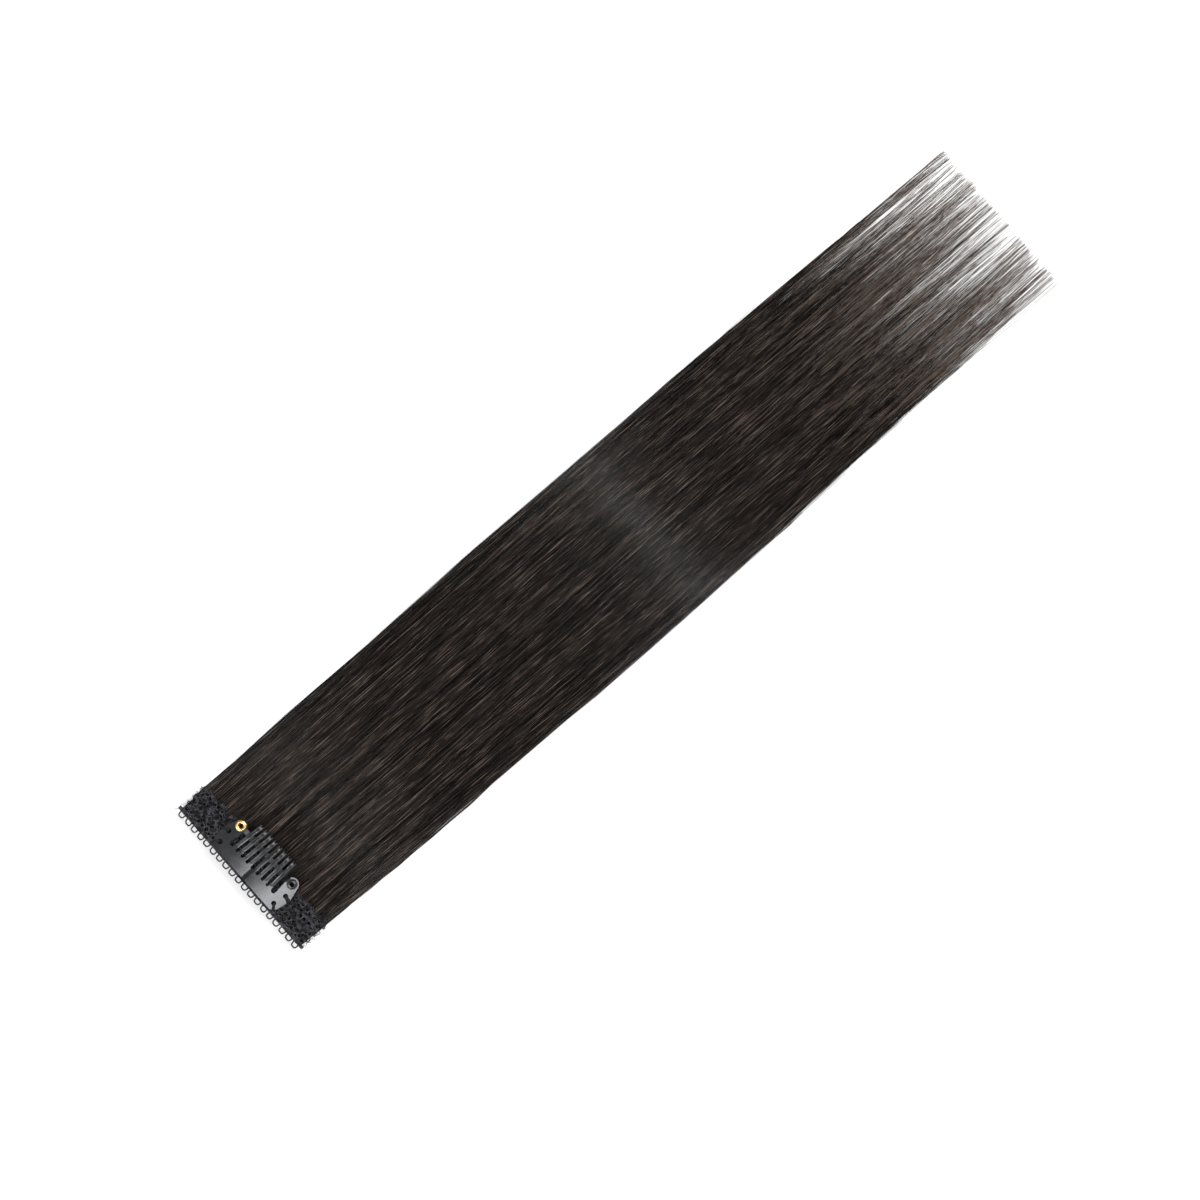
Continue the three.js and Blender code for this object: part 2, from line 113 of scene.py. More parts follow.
# Waves of a wisp's or a strand's own, as pairs: how many lie along the hair, and their size
WISP_WANDER = ((0.7, 0.55), (2.2, 0.45), (5.0, 0.25))
STRAND_WANDER = ((1.1, 0.1), (3.1, 0.06))
WISP_WEAVE = ((0.9, 0.03), (2.2, 0.02), (5.0, 0.025))
TONE_WAVES = ((1.5, 0.05), (4.0, 0.05))
LOOSE_WANDER = 4.0

# Flyaways sway along the sides and rise a little. Crossers lie over the others, and start, leave and
# sink back over these pairs of a place along the hair and a length.
FLYAWAYS = 70
FLY_SWAY = 1.5
FLY_GROWTH = 0.7
FLY_WAVE = 0.5
FLY_WAVES = 1.4
FLY_LIFT = 0.4
CROSSERS = 60
CROSS_DRIFT = 2.2
CROSS_START = (0.03, 0.3)
CROSS_LENGTH = 0.35
CROSS_BACK = (0.6, 0.4)
CROSS_RISE = (0.03, 0.06)
CROSS_SINK = (0.8, 0.2)
CROSS_GAP = 0.05

# Tone: a wisp's own, a lighter few, what each strand adds, and bands across the weft
TONE_LENGTH = 12.0
WISP_TONE = 0.43
WISP_TONE_SPREAD = 0.08
LIGHT_WISP_SHARE = 0.05
LIGHT_WISP_TONE = 0.25
STRAND_TONE_SPREAD = 0.38
TONE_BAND = 0.05
TONE_BAND_WIDTH = 7.3
TONE_CEILING = 0.78
NUMBER_STEP = 5.0
NUMBER_SPREAD = 4.0

# Tone added along the hair. Its rise towards the tips is painted light: light that passes through the thin
# tips, put into their colour.
TONE_AND_TIP_LIGHT_ALONG = [
    {"s": 0.0, "more": 0.02},
    {"s": 0.3, "more": -0.05},
    {"s": 0.65, "more": -0.02},
    {"s": 0.78, "more": 0.1},
    {"s": 0.9, "more": 0.48},
    {"s": 1.0, "more": 0.8},
]

# Which layer the wisps lie in, from 0 on the ground to 1 at the top
WISP_LAYERS = [
    {"share": 0.0, "layer": 0.0},
    {"share": 0.17, "layer": 0.14},
    {"share": 0.5, "layer": 0.78},
    {"share": 1.0, "layer": 1.0},
]
LAYER_TOP = 1.02

# Hair's outline: distance from the lace's middle, height of its top, share of the weft's width.
# Its sheen lies on its crest.
OUTLINE = [
    {"y": -4, "top": 1.85, "spread": 1.0},
    {"y": 6.5, "top": 1.95, "spread": 1.0},
    {"y": 11.5, "top": 2.6, "spread": 1.0},
    {"y": 22, "top": 3.9, "spread": 1.005},
    {"y": 50, "top": 4.15, "spread": 1.015},
    {"y": 110, "top": 3.95, "spread": 1.03},
    {"y": 140, "top": 4.25, "spread": 1.03},
    {"y": 157, "top": 4.6, "spread": 1.03},
    {"y": 166, "top": 4.7, "spread": 1.025},
    {"y": 175, "top": 4.58, "spread": 1.02},
    {"y": 195, "top": 4.05, "spread": 1.01},
    {"y": 240, "top": 2.9, "spread": 0.985},
    {"y": 270, "top": 2.2, "spread": 0.965},
    {"y": 295, "top": 1.6, "spread": 0.95},
    {"y": 318, "top": 0.9, "spread": 0.94},
]
SHOULDER_OUT = 1.2
SHOULDER_POWER = 4
SHOULDER_LEAST = 0.04
RIDGE_PITCH = 4.5
RIDGE_MEAN = 0.94
RIDGE_SWING = 0.06

# Weft head
HEAD_BACK_Y = -3.9
HEAD_MIDDLE_Y = 0.5
HEAD_FRONT_Y = 4.9
HEAD_UNDERLAP = 4.0
HEAD_TOP_Z = 1.9
HEAD_LOW_Z = 0.12
HEAD_ROOM = 0.2
HEAD_HAIRS = 520
HEAD_HAIR_RADIUS = 0.075
HEAD_HAIR_SIDES = 4
HEAD_HAIR_LEAST_Z = 0.09
HEAD_ROWS_Y = (-2.6, 0.2, 3.0)
HEAD_STITCH_LENGTH = 1.3
HEAD_STITCH_SWING = 0.28
HEAD_STITCH_LIFT = 0.05
HEAD_STITCH_GAP = 0.02
HEAD_STITCH_RADIUS = 0.11
HEAD_STITCH_LEAST_Z = 0.14
UNDER_LACE_Y = 7.0
UNDER_LACE_Z = HEAD_TOP_Z - 0.1

# Lace
LACE_LENGTH = 60.0
LACE_EDGE_Y = -4.8
LACE_FAR_Y = 6.4
LACE_Z = 2.75
SCALLOP_SPACING = 6.0
SCALLOP_DEPTH = 1.3
BRAID_DEPTH = 1.1
RING_PITCH = 1.8
RING_RADIUS = 0.74
RING_JITTER = 0.12
RING_THREAD = 0.2
EDGE_CORD_SIDES = 6
SCALLOP_CORDS = [{"inset": 0.0, "radius": 0.16}, {"inset": 0.55, "radius": 0.12}]
BRAID_CORDS = [
    {"inset": 0.12, "radius": 0.18},
    {"inset": 0.4, "radius": 0.17},
    {"inset": 0.68, "radius": 0.17},
    {"inset": 0.98, "radius": 0.16},
]
BINDING = {"inset": 0.52, "swing": 0.5, "length": 0.85, "radius": 0.1}
LOOP_SPACING = 1.32
LOOP_SIZES = (0.42, 0.62)
LOOP_THREAD = 0.1
PICOT_SPACING = 3.05
PICOT_WIDTH = 2.0
PICOT_REACH = 1.5
PICOT_THREAD = 0.24
FRAYS_PER_END = 8
FRAY_THREAD = 0.07

# Flowers of the lace. A petal's place and size are shares of the flower's radius.
FLOWER_SPACING = 12.0
FLOWER_RADIUS = 2.5
FLOWER_SWAY = 1.1
FLOWER_TURN = 0.3
PETALS = 5
PETAL = {"out": 0.58, "length": 0.86, "width": 0.62, "lift": 0.12}
EYE_RADII = (0.75, 0.35)
LEAVES = [
    {"x": 0, "y": 2.2, "turn": 0.4},
    {"x": -1.4, "y": 0.1, "turn": 2.2},
    {"x": 0.8, "y": -2.1, "turn": 2.8},
]
LEAF = {"length": 2.3, "width": 1.1, "lift": 0.1}
LEAF_TURN = 0.5
END_LEAVES_IN = 3.0
STEM_SWAY = 2.61
STEM_SHIFTS = (0.0, 0.42)
OVAL_FILL = 0.94
OVAL_PASSES = 11
OVAL_BULGE = 0.1
OVAL_RIM_LIFT = 0.06

# Clip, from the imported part
PLATE_HALF = 16.0
PLATE_BOW = math.radians(4.2)
SEWING_HOLES = [
    {"x": 13.05, "y": -1.6, "edge_x": 14.5, "edge_y": -3.0},
    {"x": 13.85, "y": 2.75, "edge_x": 16.0, "edge_y": 2.2},
]
PLATE_CREASE_Z = 4.87
PLATE_TILT = math.radians(2)
TOOTH_PITCH = 2.2
TOOTH_FAN = 1.1
TIPS_Y = 12.0
SLOTS_Y = 0.2
CREASE_SPAN = (-0.2, 1.5)
CREASE_STEP = 0.14
TOOTH_ROUNDNESS = 0.34
TOOTH_START = (0.7, 2.6)
# span from a tooth's middle over which its painted highlight comes up towards the edge
TOOTH_HIGHLIGHT_EDGE = (0.26, 0.42)
TEETH_PER_SIDE = 4
TEETH_SHIFT = 20
SEWING_TURNS = 7
SEWING_SPACING = 0.21
SEWING_THREAD = 0.13
WELD_DISTANCE = 0.005
FLAT_ANGLE = math.radians(1)
SHARP_ANGLE = math.radians(35)

# Finishes. Colours are linear, and a ramp lists places and the colours there.
HAIR_RAMP = [
    (0.0, (0.0020, 0.0017, 0.0016)),
    (0.3, (0.0070, 0.0055, 0.0048)),
    (0.6, (0.025, 0.0195, 0.0168)),
    (0.85, (0.066, 0.0520, 0.0440)),
    (1.0, (0.190, 0.146, 0.120)),
]
LACE_THREAD = {"dark": (0.0025, 0.0025, 0.0032), "light": (0.068, 0.067, 0.083), "roughness": 0.7}
BLACK_THREAD = {"dark": (0.004, 0.004, 0.0045), "light": (0.013, 0.013, 0.015), "roughness": 0.6}
COMB_STEEL = {"dark": (0.066, 0.067, 0.070), "light": (0.096, 0.098, 0.102)}
# the bar is the comb's black steel made darker: painted shade where it lies under the teeth
SHADED_BAR_STEEL = {"dark": (0.018, 0.018, 0.019), "light": (0.032, 0.033, 0.035)}
EYELET_STEEL = {"dark": (0.070, 0.071, 0.074), "light": (0.100, 0.102, 0.106)}
# the teeth's colour is a painted highlight: dark in the middle of a tooth, light along its edges
TOOTH_HIGHLIGHT_RAMP = [(0.0, (0.040, 0.041, 0.043)), (1.0, (0.26, 0.27, 0.28))]
BRASS_RAMP = [(0.2, (0.86, 0.54, 0.21)), (0.8, (0.99, 0.72, 0.35))]
GROUND_RAMP = [(0.0, (0.93, 0.93, 0.93)), (1.0, (0.97, 0.97, 0.97))]

# Sockets of a Mix node that mixes colours
MIX_SHARE, MIX_FIRST, MIX_SECOND, MIX_RESULT = 0, 6, 7, 2

# Camera: the photo looks straight down, with the tips of the hair up to the right
PHOTO_WIDTH = 384.0
PHOTO_CENTRE = (8.3, 140.3)
PHOTO_UP = (-0.755, 0.656)
LENS = 100.0
SENSOR = 36.0

# Light: two wide ones beyond the ends of the hair light the ground without glare on the strands, a
# narrow strip overhead lays the sheen across the hair, and a soft box to one side brightens the half of
# the comb that leans towards it
WORLD_STRENGTH = 0.22
FLOOR_HALF = 4000.0
LIGHTS = [
    {
        "name": "far_light",
        "place": (PHOTO_CENTRE[0], 1500, 1300),
        "aim": (*PHOTO_CENTRE, 0),
        "size": (1500, 800),
        "watts": 24,
    },
    {
        "name": "near_light",
        "place": (PHOTO_CENTRE[0], -1220, 1300),
        "aim": (*PHOTO_CENTRE, 0),
        "size": (1500, 800),
        "watts": 24,
    },
    {"name": "sheen_strip", "place": (8, 190, 1000), "aim": (8, 190, 0), "size": (900, 28), "watts": 1.9},
    {
        "name": "comb_softbox",
        "place": (150, -140, 1000),
        "aim": (0, 0, 0),
        "size": (170, 160),
        "watts": 1.06,
    },
]


def column(table, key):
    return np.array([row[key] for row in table], float)


def interpolated(at, table, by, key):
    """The table's value there, on straight lines between its rows."""
    return np.interp(at, column(table, by), column(table, key))


def smooth_step(x):
    x = np.clip(x, 0, 1)
    return x * x * (3 - 2 * x)


def eased(s, start, length):
    """0 up to start, then smoothly up to 1 over length."""
    return smooth_step((s - start) / length)


def points_at(x, y, z):
    """Points from their coordinates, where one number can stand for all of them."""
    return np.stack(np.broadcast_arrays(x, y, z), -1)


# Meshes from arrays


def mesh_object(name, points, faces, material, floats=None, uv=None):
    """A mesh object riding on the part. faces is a list of arrays, each with its own number of corners."""
    mesh = bpy.data.meshes.new(name)
    corners = np.concatenate([f.ravel() for f in faces]).astype(np.int32)
    totals = np.concatenate([np.full(len(f), f.shape[1]) for f in faces]).astype(np.int32)
    starts = np.concatenate([[0], np.cumsum(totals)[:-1]]).astype(np.int32)
    mesh.vertices.add(len(points))
    mesh.vertices.foreach_set("co", (points * MM).astype(np.float32).ravel())
    mesh.loops.add(len(corners))
    mesh.loops.foreach_set("vertex_index", corners)
    mesh.polygons.add(len(totals))
    mesh.polygons.foreach_set("loop_start", starts)
    mesh.polygons.foreach_set("use_smooth", np.full(len(totals), True))
    for key, values in (floats or {}).items():
        layer = mesh.attributes.new(key, "FLOAT", "POINT")
        layer.data.foreach_set("value", values.astype(np.float32))
    if uv is not None:
        layer = mesh.uv_layers.new(name="OFBake")
        layer.data.foreach_set("uv", uv.astype(np.float32).ravel())
    mesh.update(calc_edges=True)
    mesh.materials.append(material)
    obj = bpy.data.objects.new(name, mesh)
    bpy.context.scene.collection.objects.link(obj)
    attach(obj, BODY)
    return obj


def unit(v):
    return v / np.maximum(np.linalg.norm(v, axis=-1, keepdims=True), 1e-9)


def tubes(paths, radii, sides, up=UP, phase=0.0):
    """Closed tubes round polylines of equal point counts: points, quads and caps."""
    paths = np.asarray(paths, float)
    count, steps, _ = paths.shape
    radii = np.broadcast_to(radii, (count, steps))
    along = unit(np.gradient(paths, axis=1))
    side = unit(np.cross(along, up))
    over = np.cross(side, along)
    angle = np.reshape(phase, (-1, 1)) + 2 * np.pi * np.arange(sides) / sides
    angle = np.broadcast_to(angle, (count, sides))[:, None, :, None]
    offset = np.cos(angle) * side[:, :, None] + np.sin(angle) * over[:, :, None]
    points = paths[:, :, None] + radii[:, :, None, None] * offset
    index = np.arange(count * steps * sides).reshape(count, steps, sides)
    after = np.roll(index, -1, axis=2)
    quads = np.stack([index[:, :-1], index[:, 1:], after[:, 1:], after[:, :-1]], -1)
    caps = np.concatenate([index[:, 0], index[:, -1, ::-1]])
    return points.reshape(-1, 3), quads.reshape(-1, 4), caps


def gathered(parts):
    """Several tubes() results as one list of points and faces."""
    points, faces, start = [], [], 0
    for part_points, *part_faces in parts:
        points.append(part_points)
        faces += [f + start for f in part_faces]
        start += len(part_points)
    return np.concatenate(points), faces


def resampled(path, steps):
    """A polyline with that many points, spaced evenly along its length."""
    path = np.asarray(path, float)
    run = np.concatenate([[0], np.cumsum(np.linalg.norm(np.diff(path, axis=0), axis=1))])
    at = np.linspace(0, run[-1], steps)
    return np.stack([np.interp(at, run, path[:, i]) for i in range(3)], -1)


# Materials. Each helper adds its nodes and returns the socket that holds the result.


def new_material(name):
    material = bpy.data.materials.new(name)
    material.use_nodes = True
    nodes = material.node_tree.nodes
    return material, nodes, material.node_tree.links, nodes["Principled BSDF"]


def object_axes(nodes, links):
    """A point's X, Y and Z in the object, in metres."""
    place = nodes.new("ShaderNodeTexCoord")
    split = nodes.new("ShaderNodeSeparateXYZ")
    links.new(place.outputs["Object"], split.inputs["Vector"])
    return split.outputs


def ramp(nodes, links, source, stops):
    node = nodes.new("ShaderNodeValToRGB")
    elements = node.color_ramp.elements
    while len(elements) < len(stops):
        elements.new(0.5)
    for element, (position, color) in zip(elements, stops):
        element.position = position
        element.color = (*color, 1)
    links.new(source, node.inputs["Fac"])
    return node.outputs["Color"]


def noise(nodes, links, scale, detail=3.0, stretch=(1, 1, 1)):
    """A noise in object space, stretched along an axis by a small scale there."""
    place = nodes.new("ShaderNodeTexCoord")
    mapping = nodes.new("ShaderNodeMapping")
    mapping.inputs["Scale"].default_value = stretch
    texture = nodes.new("ShaderNodeTexNoise")
    texture.inputs["Scale"].default_value = scale
    texture.inputs["Detail"].default_value = detail
    links.new(place.outputs["Object"], mapping.inputs["Vector"])
    links.new(mapping.outputs["Vector"], texture.inputs["Vector"])
    return texture.outputs["Fac"]


def map_range(nodes, links, source, span, result=(0.0, 1.0), smooth=False):
    """What runs over span in source runs over result, and no further."""
    node = nodes.new("ShaderNodeMapRange")
    node.interpolation_type = "SMOOTHSTEP" if smooth else "LINEAR"
    node.inputs["From Min"].default_value = span[0]
    node.inputs["From Max"].default_value = span[1]
    node.inputs["To Min"].default_value = result[0]
    node.inputs["To Max"].default_value = result[1]
    links.new(source, node.inputs["Value"])
    return node.outputs["Result"]


def math_node(nodes, links, operation, first, second=None):
    """A Math node between two sockets, or between a socket and a number."""
    node = nodes.new("ShaderNodeMath")
    node.operation = operation
    links.new(first, node.inputs[0])
    if isinstance(second, float):
        node.inputs[1].default_value = second
    elif second is not None:
        links.new(second, node.inputs[1])
    return node.outputs["Value"]


def mixed_color(nodes, links, share, first, second):
    mix = nodes.new("ShaderNodeMix")
    mix.data_type = "RGBA"
    links.new(share, mix.inputs[MIX_SHARE])
    links.new(first, mix.inputs[MIX_FIRST])
    links.new(second, mix.inputs[MIX_SECOND])
    return mix.outputs[MIX_RESULT]


def bumped(nodes, links, height, strength, distance, under=None):
    """A normal that follows a height, over the normal under it."""
    node = nodes.new("ShaderNodeBump")
    node.inputs["Strength"].default_value = strength
    node.inputs["Distance"].default_value = distance
    links.new(height, node.inputs["Height"])
    if under is not None:
        links.new(under, node.inputs["Normal"])
    return node.outputs["Normal"]


def hair_material():
    """Near-black brown fibre: tone varies from strand to strand and along each, with painted light at the
    thin tips.
    """
    material, nodes, links, shader = new_material("hair_fibre")
    tone = nodes.new("ShaderNodeAttribute")
    tone.attribute_name = "tone"
    strand = nodes.new("ShaderNodeAttribute")
    strand.attribute_name = "strand"
    # each strand has a noise of its own, which changes over TONE_LENGTH or so
    y = object_axes(nodes, links)["Y"]
    at = nodes.new("ShaderNodeCombineXYZ")
    links.new(strand.outputs["Fac"], at.inputs["X"])
    links.new(math_node(nodes, links, "MULTIPLY", y, 1 / (TONE_LENGTH * MM)), at.inputs["Y"])
    patch = nodes.new("ShaderNodeTexNoise")
    patch.inputs["Scale"].default_value = 1.0
    patch.inputs["Detail"].default_value = 2.0
    links.new(at.outputs["Vector"], patch.inputs["Vector"])
    shift = map_range(nodes, links, patch.outputs["Fac"], (0.0, 1.0), (-1.0, 1.0))
    total = math_node(nodes, links, "ADD", tone.outputs["Fac"], shift)
    links.new(ramp(nodes, links, total, HAIR_RAMP), shader.inputs["Base Color"])
    gloss = map_range(nodes, links, patch.outputs["Fac"], (0.0, 1.0), (0.12, 0.18))
    links.new(gloss, shader.inputs["Roughness"])
    shader.inputs["Specular IOR Level"].default_value = 0.35
    return material


def thread_material(name, dark, light, roughness):
    """Matt spun thread: tone varies from place to place, and a fine twist shows as bump."""
    material, nodes, links, shader = new_material(name)
    patch = noise(nodes, links, scale=900)
    spun = noise(nodes, links, scale=4000, detail=2, stretch=(1, 1, 3))
    gloss = map_range(nodes, links, spun, (0.0, 1.0), (roughness - 0.1, roughness + 0.1))
    twist = bumped(nodes, links, spun, strength=0.5, distance=0.06 * MM)
    links.new(ramp(nodes, links, patch, [(0.4, dark), (0.64, light)]), shader.inputs["Base Color"])
    links.new(gloss, shader.inputs["Roughness"])
    links.new(twist, shader.inputs["Normal"])
    shader.inputs["Sheen Weight"].default_value = 0.06
    shader.inputs["Sheen Roughness"].default_value = 0.4
    shader.inputs["Specular IOR Level"].default_value = 0.25
    return material


def pressed_shape(nodes, links):
    """The pressed plate's height over the flat one, in metres, and where its teeth and their edges are, the
    edges for a painted highlight.
    """
    axes = object_axes(nodes, links)
    x, y = axes["X"], axes["Y"]

    def calc(operation, first, second=None):
        return math_node(nodes, links, operation, first, second)

    def over_lengths(source, start, end, result=(0.0, 1.0), smooth=True):
        return map_range(nodes, links, source, (start * MM, end * MM), result, smooth)

    from_middle = calc("SUBTRACT", calc("ABSOLUTE", x), PLATE_HALF / 2 * MM)
    bow_share = -math.tan(PLATE_BOW) / (PLATE_HALF * MM)
    bow = calc("MULTIPLY", calc("MULTIPLY", from_middle, from_middle), bow_share)
    crease = over_lengths(x, *CREASE_SPAN, (0.0, CREASE_STEP * MM))

    # the teeth fan out towards their roots, so x is drawn in before it is cut into teeth
    drawn_in = calc("DIVIDE", x, over_lengths(y, SLOTS_Y, TIPS_Y, (TOOTH_FAN, 1.0), smooth=False))
    shifted = calc("ADD", drawn_in, TEETH_SHIFT * TOOTH_PITCH * MM)
    from_tooth = calc("SUBTRACT", calc("MODULO", shifted, TOOTH_PITCH * MM), TOOTH_PITCH / 2 * MM)
    inside = calc("LESS_THAN", calc("ABSOLUTE", drawn_in), TEETH_PER_SIDE * TOOTH_PITCH * MM)
    past_slots = over_lengths(y, SLOTS_Y + TOOTH_START[0], SLOTS_Y + TOOTH_START[1])
    on_teeth = calc("MULTIPLY", past_slots, inside)
    round_top = calc("MULTIPLY", calc("MULTIPLY", from_tooth, from_tooth), -TOOTH_ROUNDNESS / MM)
    # the edges of the teeth take a painted highlight
    edge = over_lengths(calc("ABSOLUTE", from_tooth), *TOOTH_HIGHLIGHT_EDGE)
    height = calc("ADD", calc("ADD", bow, crease), calc("MULTIPLY", round_top, on_teeth))
    return height, on_teeth, edge


def steel_material(name, dark, light, pressed=False):
    """Satin black finish on steel: fine grain and uneven gloss. The pressed comb's teeth get a painted
    highlight: dark in their middle, light along their edges.
    """
    material, nodes, links, shader = new_material(name)
    cloud = noise(nodes, links, scale=160)
    color = ramp(nodes, links, cloud, [(0.3, dark), (0.7, light)])
    gloss = map_range(nodes, links, cloud, (0.0, 1.0), (0.2, 0.29))
    normal = None
    if pressed:
        height, on_teeth, edge = pressed_shape(nodes, links)
        normal = bumped(nodes, links, height, strength=1.0, distance=1.0)
        # painted highlight: teeth dark in their middle and light along their edges
        color = mixed_color(nodes, links, on_teeth, color, ramp(nodes, links, edge, TOOTH_HIGHLIGHT_RAMP))
    grain = noise(nodes, links, scale=2600)
    normal = bumped(nodes, links, grain, strength=0.2, distance=0.02 * MM, under=normal)
    links.new(color, shader.inputs["Base Color"])
    links.new(gloss, shader.inputs["Roughness"])
    links.new(normal, shader.inputs["Normal"])
    shader.inputs["Metallic"].default_value = 1.0
    return material


def brass_material():
    """Polished brass with faint drawing marks."""
    material, nodes, links, shader = new_material("polished_brass")
    marks = noise(nodes, links, scale=1500, stretch=(1, 1, 6))
    links.new(ramp(nodes, links, marks, BRASS_RAMP), shader.inputs["Base Color"])
    links.new(map_range(nodes, links, marks, (0.0, 1.0), (0.16, 0.3)), shader.inputs["Roughness"])
    shader.inputs["Metallic"].default_value = 1.0
    return material


def floor_material():
    material, nodes, links, shader = new_material("white_ground")
    cloud = noise(nodes, links, scale=3, detail=2)
    links.new(ramp(nodes, links, cloud, GROUND_RAMP), shader.inputs["Base Color"])
    shader.inputs["Roughness"].default_value = 0.9
    shader.inputs["Specular IOR Level"].default_value = 0.0
    return material


# Hair


def outline(y, key):
    return interpolated(y, OUTLINE, "y", key)


def hair_top(x, y):
    """Height of the hair's upper surface, which is rounded off at both sides of the weft."""
    side = WEFT_HALF * outline(y, "spread") + SHOULDER_OUT
    shoulder = np.sqrt(np.clip(1 - np.abs(x / side) ** SHOULDER_POWER, SHOULDER_LEAST, 1))
    return outline(y, "top") * shoulder


def shared_wave(x, s, wave):
    """A sideways wave that wisps next to each other share."""
    turn = 2 * np.pi * (x / wave["width"] + wave["along"] * s) + wave["phase"]
    return wave["size"] * np.sin(turn)


def wavy(random, s, group, sizes):
    """A slow wander that each group of strands shares: waves along the hair, from (waves, size) pairs."""
    groups = group.max() + 1
    total = np.zeros_like(s)
    for waves, size in sizes:
        phase = random.uniform(0, 2 * np.pi, (groups, 1))[group]
        swing = random.normal(0, size, (groups, 1))[group]
        often = waves * random.uniform(0.8, 1.2, (groups, 1))[group]
        total += swing * np.sin(2 * np.pi * often * s + phase)
    return total


def strand_rings(reach, rings, tail):
    """Distances of each strand's rings from the lace's middle, from its root to its end."""
    end = ROOT_Y + (HAIR_REACH - ROOT_Y) * reach[:, None]
    first = np.broadcast_to(np.array(rings, float), (len(reach), len(rings)))
    rest = rings[-1] + (end - rings[-1]) * (np.arange(1, tail + 1) / tail)
    return np.concatenate([first, rest], axis=1)


def wisp_values(random, shares):
    """Place across the weft, reach, layer and tone of the wisps of one part, from the lowest up."""
    number = np.arange(WISPS)
    order = (number + 0.5) / WISPS
    chosen = (order >= shares[0]) & (order < shares[1])
    count = int(chosen.sum())
    place_share, reach_share = (np.mod(number * step, 1)[chosen] for step in EVEN_STEPS)
    x = (place_share * 2 - 1) * WEFT_HALF + random.normal(0, WISP_JITTER, count)
    reach = interpolated(reach_share, WISP_REACH, "share", "reach")
    layer = interpolated(order[chosen], WISP_LAYERS, "share", "layer")
    tone = random.normal(WISP_TONE, WISP_TONE_SPREAD, count)
    tone += np.where(random.uniform(0, 1, count) < LIGHT_WISP_SHARE, LIGHT_WISP_TONE, 0)
    return x, reach, layer, tone


def strand_paths(random, shares, rings, tail):
    """Centre lines of the strands of one part of the wisps, the tone along each, and a number of its own."""
    wisp_x, wisp_reach, wisp_layer, wisp_tone = wisp_values(random, shares)
    wisps = len(wisp_x)
    in_wisps = wisps * WISP_STRANDS
    loose = int(in_wisps * LOOSE_SHARE)
    count = in_wisps + loose
    wisp = np.concatenate([np.repeat(np.arange(wisps), WISP_STRANDS), random.integers(0, wisps, loose)])
    is_loose = (np.arange(count) >= in_wisps)[:, None]
    reach = wisp_reach[wisp] * (1 - SHORTER_BY * random.uniform(0, 1, count) ** 2)
    reach = np.minimum(reach, 1 - np.abs(random.normal(0, CUT_ROUGHNESS, count)))
    y = strand_rings(reach, rings, tail)
    s = (y - ROOT_Y) / (HAIR_REACH - ROOT_Y)
    spread = outline(y, "spread")

    # drift that neighbours share, then the wisp's own, then the strand's own
    x0 = wisp_x[wisp][:, None]
    loosening = smooth_step(s / LOOSENING)
    flow = np.zeros_like(s)
    for wave in SHARED_DRIFT:
        flow += shared_wave(x0, s, wave) * s
    flow += shared_wave(x0, s, SHARED_RIPPLE) * smooth_step(s / RIPPLE_START)
    flow += wavy(random, s, wisp, WISP_WANDER) * loosening
    own = wavy(random, s, np.arange(count), STRAND_WANDER)
    flow += own * loosening * np.where(is_loose, LOOSE_WANDER, 1.0)

    # place within the wisp
    half = interpolated(s, WISP_WIDTH, "s", "half") + np.where(is_loose, LOOSE_WIDTH, 0.0)
    radius = np.sqrt(random.uniform(0, 1, (count, 1)))
    turn = random.uniform(0, 2 * np.pi, (count, 1)) + random.normal(0, WISP_TWIST, (count, 1)) * s
    x = x0 * spread + flow + half * radius * np.cos(turn)
    # what would stand out of the side is turned back in
    out = np.maximum(np.abs(x) - (WEFT_HALF * spread + SIDE_SLACK), 0)
    x = x - 2 * np.sign(x) * out

    # height: wisps weave a little through each other
    weave = wavy(random, s, wisp, WISP_WEAVE)
    level = np.clip(wisp_layer[wisp][:, None] + weave * loosening, 0, LAYER_TOP)
    ridge = RIDGE_MEAN + RIDGE_SWING * np.cos(2 * np.pi * x0 / RIDGE_PITCH)
    z = STRAND_RADIUS + level * (hair_top(x, y) * ridge - 2 * STRAND_RADIUS)
    z = z + WISP_FLATNESS * np.minimum(half, WISP_CORE) * radius * np.sin(turn)
    z = np.where(y < UNDER_LACE_Y, np.minimum(z, UNDER_LACE_Z), z)

    tone = wisp_tone[wisp] + random.normal(0, STRAND_TONE_SPREAD, count)
    tone = tone + TONE_BAND * np.sin(2 * np.pi * wisp_x[wisp] / TONE_BAND_WIDTH)
    tone = tone[:, None] + wavy(random, s, np.arange(count), TONE_WAVES)
    # towards the tips the tone carries painted light, for light that passes through them
    tone = np.minimum(tone, TONE_CEILING) + interpolated(s, TONE_AND_TIP_LIGHT_ALONG, "s", "more")
    number = wisp * NUMBER_STEP + random.uniform(0, NUMBER_SPREAD, count)
    return np.stack([x, y, z], -1), tone, number


